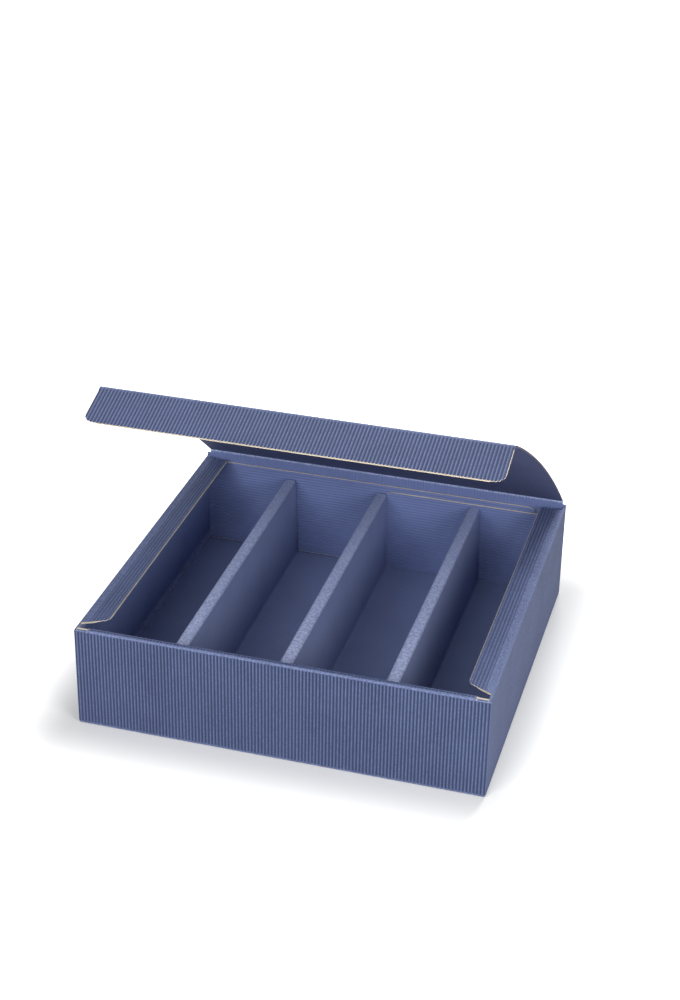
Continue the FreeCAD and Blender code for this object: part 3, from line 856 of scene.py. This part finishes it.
@dataclass
class Lid:
    """The bowed lid panel, its tuck flap and the strips of board that bend at both creases."""

    sizes: BoxSizes
    board: Board
    width: float = 363 * MM
    length: float = 341 * MM
    bow_angle: float = math.radians(5.2)
    open_angle: float = math.radians(35)
    tuck_width: float = 358 * MM
    tuck_length: float = 43 * MM
    tuck_drop: float = math.radians(17)
    tuck_round: float = 9 * MM
    strip: float = 4.5 * MM
    strip_step: float = 3 * MM
    hinge_round: float = 1.6 * MM
    bow_steps: int = 24
    panel_rows: int = 20
    flap_rows: int = 9

    @property
    def hinge(self) -> Vector:
        """Place of the lid's crease, seen from the side."""
        return Vector((self.sizes.half_depth, self.sizes.hinge_height))

    @staticmethod
    def heading(rise: float) -> Vector:
        """Direction that goes forwards and rises by an angle, seen from the side."""
        return Vector((-math.cos(rise), math.sin(rise)))

    @property
    def front_edge(self) -> Vector:
        """Front end of the lid's outer face."""
        return self.hinge + self.heading(self.open_angle) * self.length

    @property
    def flap_axis(self) -> Vector:
        """Line on which the tuck flap turns, seen from the side."""
        slope = self.open_angle - self.bow_angle
        return self.front_edge - Vector((math.sin(slope), math.cos(slope))) * self.board.thickness

    @property
    def flap_start(self) -> Vector:
        """Back end of the tuck flap's outer face."""
        over = Vector((-math.sin(self.tuck_drop), math.cos(self.tuck_drop))) * self.board.thickness
        return self.flap_axis + over

    def arc(self) -> Trace:
        """Traces the lid's bowed outer face, from its crease to its front edge."""
        rise = self.open_angle + self.bow_angle
        tangent = self.length / 2 / math.cos(self.bow_angle)
        peak = self.hinge + self.heading(rise) * tangent
        bow_radius = self.length / 2 / math.sin(self.bow_angle)
        corners = (tuple(self.hinge), tuple(peak), tuple(self.front_edge))
        return FoldPath(corners, (bow_radius,), arc_steps=self.bow_steps).trace()

    def on_arc(self, way: float) -> Vector:
        """Returns the point of the lid's outer face at a way from its crease, seen from the side."""
        return Vector(tuple(self.arc().read(np.array([way]))[0][0]))

    def build(self) -> list[bpy.types.Object]:
        """Builds the lid panel, the tuck flap and both crease strips."""
        panel, flap, hinge, front = self.panel(), self.flap(), self.hinge_crease(), self.front_crease()
        for piece in panel:
            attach(piece, "lid_body")
        for piece in flap:
            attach(piece, "flap_body")
        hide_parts("lid")
        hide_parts("tuck_flap")
        pieces = panel + flap + hinge + front
        return pieces

    def panel(self) -> list[bpy.types.Object]:
        """Builds the bowed panel between the crease strips."""
        trace = self.arc()
        half = self.width / 2
        rows = np.linspace(self.strip, trace.length - self.strip, self.panel_rows)
        panel = Panel(
            "lid_panel", self.board, swept(trace, BOX_SIDE, True), (-half, half), rows,
            folds_along=((-FAR, 0.0), (trace.length, FAR)), cuts=(Cut.PLAIN, Cut.PLAIN))
        return panel.plies(LID_OUTER, LID_LINER)

    def flap(self) -> list[bpy.types.Object]:
        """Builds the tuck flap in front of its crease strip."""
        start = self.flap_start
        end = start + self.heading(-self.tuck_drop) * self.tuck_length
        path = FoldPath((tuple(start), tuple(end)), ())
        half = self.tuck_width / 2

        def ends(across: np.ndarray) -> tuple[np.ndarray, np.ndarray]:
            """Gives the flap's ends, with its rounded front corners."""
            corner = rounding(half - np.abs(across), self.tuck_round)
            return np.full(len(across), self.strip), self.tuck_length - corner

        rows = np.linspace(self.strip, self.tuck_length, self.flap_rows)
        panel = Panel("tuck_flap_panel", self.board, swept(path.trace(), BOX_SIDE, True), (-half, half), rows,
                      trim=ends, folds_along=((-FAR, 0.0),))
        return panel.plies(OUTER_SKINS, LINER_SKINS)

    def crease(self, name: str, points: tuple[Vector, Vector, Vector], radius: float, half: float,
               inner: Finish) -> list[bpy.types.Object]:
        """Builds a strip of board that bends across a crease.

        Args:
            name: Name of the strip.
            points: Start, corner and end of its outer face, seen from the side.
            radius: Outer radius of the fold.
            half: Half of its width.
            inner: Finish of its inner skin.
        """
        path = FoldPath(tuple(tuple(point) for point in points), (radius,), arc_steps=6)
        trace = path.trace()
        panel = Panel(name, self.board, swept(trace, BOX_SIDE, True), (-half, half),
                      trace.stations(self.strip_step, self.board.band), folds_along=trace.folds,
                      cuts=(Cut.PLAIN, Cut.PLAIN))
        pieces = panel.plies(LID_OUTER, (RAW_INSIDE, inner, DULL_EDGE))
        for piece in pieces:
            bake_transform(piece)
        return pieces

    def hinge_crease(self) -> list[bpy.types.Object]:
        """Builds the strip between the back wall and the lid."""
        start = self.hinge - Vector((0.0, self.strip))
        points = (start, self.hinge, self.on_arc(self.strip))
        return self.crease("hinge_crease", points, self.hinge_round, self.width / 2,
                           LINER_NAVY_PAINTED_LIGHTER)

    def front_crease(self) -> list[bpy.types.Object]:
        """Builds the strip between the lid and its tuck flap."""
        start = self.on_arc(self.arc().length - self.strip)
        rise = self.open_angle - self.bow_angle
        turn = rise + self.tuck_drop
        corner = self.front_edge + self.heading(rise) * self.board.thickness * math.tan(turn / 2)
        end = self.flap_start + self.heading(-self.tuck_drop) * self.strip
        return self.crease("front_crease", (start, corner, end), self.board.thickness, self.tuck_width / 2,
                           LID_NAVY_PAINTED_SHADE)


@dataclass
class Insert:
    """The loose folded insert with its three hollow ridges."""

    board: Board
    half_width: float
    front: float
    back: float
    floor: float
    top: float
    pitch: float = 95 * MM
    top_width: float = 11 * MM
    foot_width: float = 17 * MM
    ridge_round: float = 3 * MM
    foot_round: float = 1.5 * MM
    thickness: float = 1.6 * MM
    washboard: float = 0.12 * MM
    top_ribs: float = 0.55 * MM
    rib_steps: int = 4
    row_step: float = 90 * MM
    foot_band: float = 1.5 * MM
    crown_band: float = 0.6 * MM
    crown_fade: float = 0.7

    def build(self) -> list[bpy.types.Object]:
        """Builds the insert as one sheet, whose ridges' tops are paler, part from rubbing and part as painted
        highlight, fading towards the back.
        """
        foot = (self.foot_width / 2, self.floor, self.foot_round)
        top = (self.top_width / 2, self.top, self.ridge_round)
        corners, radii = [(-self.half_width, self.floor)], []
        for number in (-1, 0, 1):
            for side, (reach, height, radius) in ((-1, foot), (-1, top), (1, top), (1, foot)):
                corners.append((number * self.pitch + side * reach, height))
                radii.append(radius)
        corners.append((self.half_width, self.floor))
        trace = FoldPath(tuple(corners), tuple(radii), Outside.LEFT, arc_steps=3).trace()
        crowns = tuple((trace.folds[4 * n + 1][0], trace.folds[4 * n + 2][1]) for n in range(3))
        rows = trace.stations(self.row_step, self.foot_band)
        face, deep = swept(trace, BOX_FRONT, True), self.back - self.front
        panel = Panel("divider_sheet", self.board, face, (self.front, self.back), rows)
        mesh, across, along = panel.grid(panel.name, round(deep / self.board.pitch * self.rib_steps))
        rib, crown = self.board.rib(across), nearness(along, crowns, self.crown_band)
        depth = (1 - rib) * (self.washboard + (self.top_ribs - self.washboard) * crown)
        # The paler ridge tops, part rubbing and part painted highlight, fade towards the back.
        crown *= 1 - self.crown_fade * (across - self.front) / deep
        piece = panel.finished(
            mesh, across, along, depth, self.thickness - self.top_ribs / 2,
            {RIB_MARK: rib, PRESSED_MARK: crown, FRAY_MARK: np.zeros(len(along))},
            (INSERT_NAVY_PAINTED_LIGHTER, RAW_INSIDE, RAW_EDGE))
        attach(piece, "tray_body")
        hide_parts("divider_insert")
        return [piece]


@dataclass(frozen=True)
class Studio:
    """Pale floor, soft lights and the camera."""

    floor_size: float = 14.0
    floor_colour: Colour = (0.7, 0.7, 0.7, 1.0)
    floor_roughness: float = 0.9
    footprint: Place = (0.185, 0.175, 1.0)
    glow_reach: Pair = (0.0, 0.11)
    sky: float = 0.36
    aim: Place = (0, 0, 0.08)
    camera_azimuth: float = math.radians(15.52)
    camera_rise: float = math.radians(28.69)
    camera_roll: float = math.radians(1.09)
    camera_at: Place = (0.4114, -1.4663, 0.9994)
    focal_pixels: float = 1918.4
    picture_height: float = 1000.0
    sensor: float = 36.0
    clip: Pair = (0.05, 50.0)

    def build(self) -> None:
        """Builds the whole studio."""
        self.floor()
        self.world()
        self.lamps()
        self.camera()

    def floor(self) -> None:
        """Lays a pale floor that shows the box's shadow and turns pure white to the camera further out; as
        that glow falls to nothing at the box, the floor round the box's foot is left darker, a painted shadow
        on top of the real one.
        """
        mesh = grid_mesh("floor", 1, 1, self.floor_size / 2)
        paint = bpy.data.materials.new("white_floor")
        paint.use_nodes = True
        nodes = Nodes(paint.node_tree)
        surface = nodes.tree.nodes["Principled BSDF"]
        for name, value in (("Base Color", self.floor_colour), ("Roughness", self.floor_roughness),
                            ("Specular IOR Level", 0.0)):
            nodes.feed(surface.inputs[name], value)
        vector = nodes.add("TexCoord").outputs["Object"]
        for operation, value in (("ABSOLUTE", None), ("SUBTRACT", self.footprint), ("MAXIMUM", (0.0,) * 3)):
            step = nodes.add("VectorMath", operation=operation)
            nodes.feed(step.inputs[0], vector)
            if value:
                nodes.feed(step.inputs[1], value)
            vector = step.outputs["Vector"]
        away = nodes.add("VectorMath", operation="LENGTH")
        nodes.feed(away.inputs[0], vector)
        # The glow rises from nothing at the box's footprint, so the floor close round the box stays darker: a
        # painted shadow band.
        fade = nodes.ranged(away.outputs["Value"], self.glow_reach, (0.0, 1.0), "SMOOTHSTEP")
        seen = nodes.add("LightPath").outputs["Is Camera Ray"]
        glow, both = nodes.add("Emission"), nodes.add("AddShader")
        nodes.feed(glow.inputs["Strength"], nodes.math("MULTIPLY", fade, seen))
        nodes.feed(both.inputs[0], surface.outputs["BSDF"])
        nodes.feed(both.inputs[1], glow.outputs["Emission"])
        nodes.feed(nodes.tree.nodes["Material Output"].inputs["Surface"], both.outputs["Shader"])
        mesh.materials.append(paint)
        floor = added("floor", mesh)

    def world(self) -> None:
        """Sets a white background over a plain soft sky."""
        world = bpy.data.worlds.new("studio")
        bpy.context.scene.world = world
        world.use_nodes = True
        nodes = Nodes(world.node_tree)
        sky = nodes.tree.nodes["Background"]
        nodes.feed(sky.inputs["Color"], (1, 1, 1, 1))
        path = nodes.add("LightPath")
        seen = path.outputs["Is Camera Ray"]
        for name in ("Is Glossy Ray", "Is Transmission Ray"):
            seen = nodes.math("MAXIMUM", seen, path.outputs[name])
        nodes.feed(sky.inputs["Strength"], nodes.ranged(seen, (0.0, 1.0), (self.sky, 1.0)))

    def lamps(self) -> None:
        """Hangs a soft light in front, a weaker one at the right and one behind that casts the shadow."""
        for name, place, size, power in (
                ("front", Vector((-0.4, -1.9, 1.2)), 1.4, 41.0),
                ("right", Vector((0.85, -0.8, 0.6)), 0.6, 7.5),
                ("behind", Vector((0.25, 1.2, 1.6)), 0.7, 28.0)):
            lamp = bpy.data.lights.new(name, "AREA")
            lamp.shape = "SQUARE"
            lamp.size = size
            lamp.energy = power
            holder = added(name, lamp)
            holder.location = place
            holder.rotation_mode = "QUATERNION"
            holder.rotation_quaternion = (Vector(self.aim) - place).to_track_quat("-Z", "Y")
            holder.visible_camera = False

    def camera(self) -> None:
        """Sets the camera at the photograph's viewing angle."""
        turn, rise, roll = self.camera_azimuth, self.camera_rise, self.camera_roll
        back = Vector((math.sin(turn) * math.cos(rise), -math.cos(turn) * math.cos(rise), math.sin(rise)))
        level_right = (-back).cross(Vector((0, 0, 1))).normalized()
        level_up = level_right.cross(-back)
        right = level_right * math.cos(roll) + level_up * math.sin(roll)
        up = level_up * math.cos(roll) - level_right * math.sin(roll)
        lens = bpy.data.cameras.new("camera")
        lens.sensor_width = self.sensor
        lens.lens = self.sensor * self.focal_pixels / self.picture_height
        lens.clip_start, lens.clip_end = self.clip
        camera = added("camera", lens)
        facing = Matrix((right, up, back)).transposed().to_4x4()
        camera.matrix_world = Matrix.Translation(self.camera_at) @ facing
        bpy.context.scene.camera = camera


def main() -> None:
    """Builds the box round its frame, dresses it and sets the studio."""
    logging.basicConfig(level=logging.INFO, format="%(message)s")
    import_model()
    bpy.context.scene.view_settings.view_transform = "Standard"

    board = Board()
    _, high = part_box("tray")
    sizes = BoxSizes(high.x, high.y)
    insert_low, insert_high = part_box("divider_insert")
    floor = insert_low.z + Insert.thickness
    parts = (
        Tray(sizes, Board(band=TRAY_BAND)),
        Lid(sizes, board),
        Insert(board, insert_high.x, insert_low.y, insert_high.y, floor, insert_high.z),
    )
    for part in parts:
        for piece in part.build():
            mesh = piece.data
            log.info("%s: %d vertices, %d faces", piece.name, len(mesh.vertices), len(mesh.polygons))
    Studio().build()


if __name__ == "__main__":
    main()
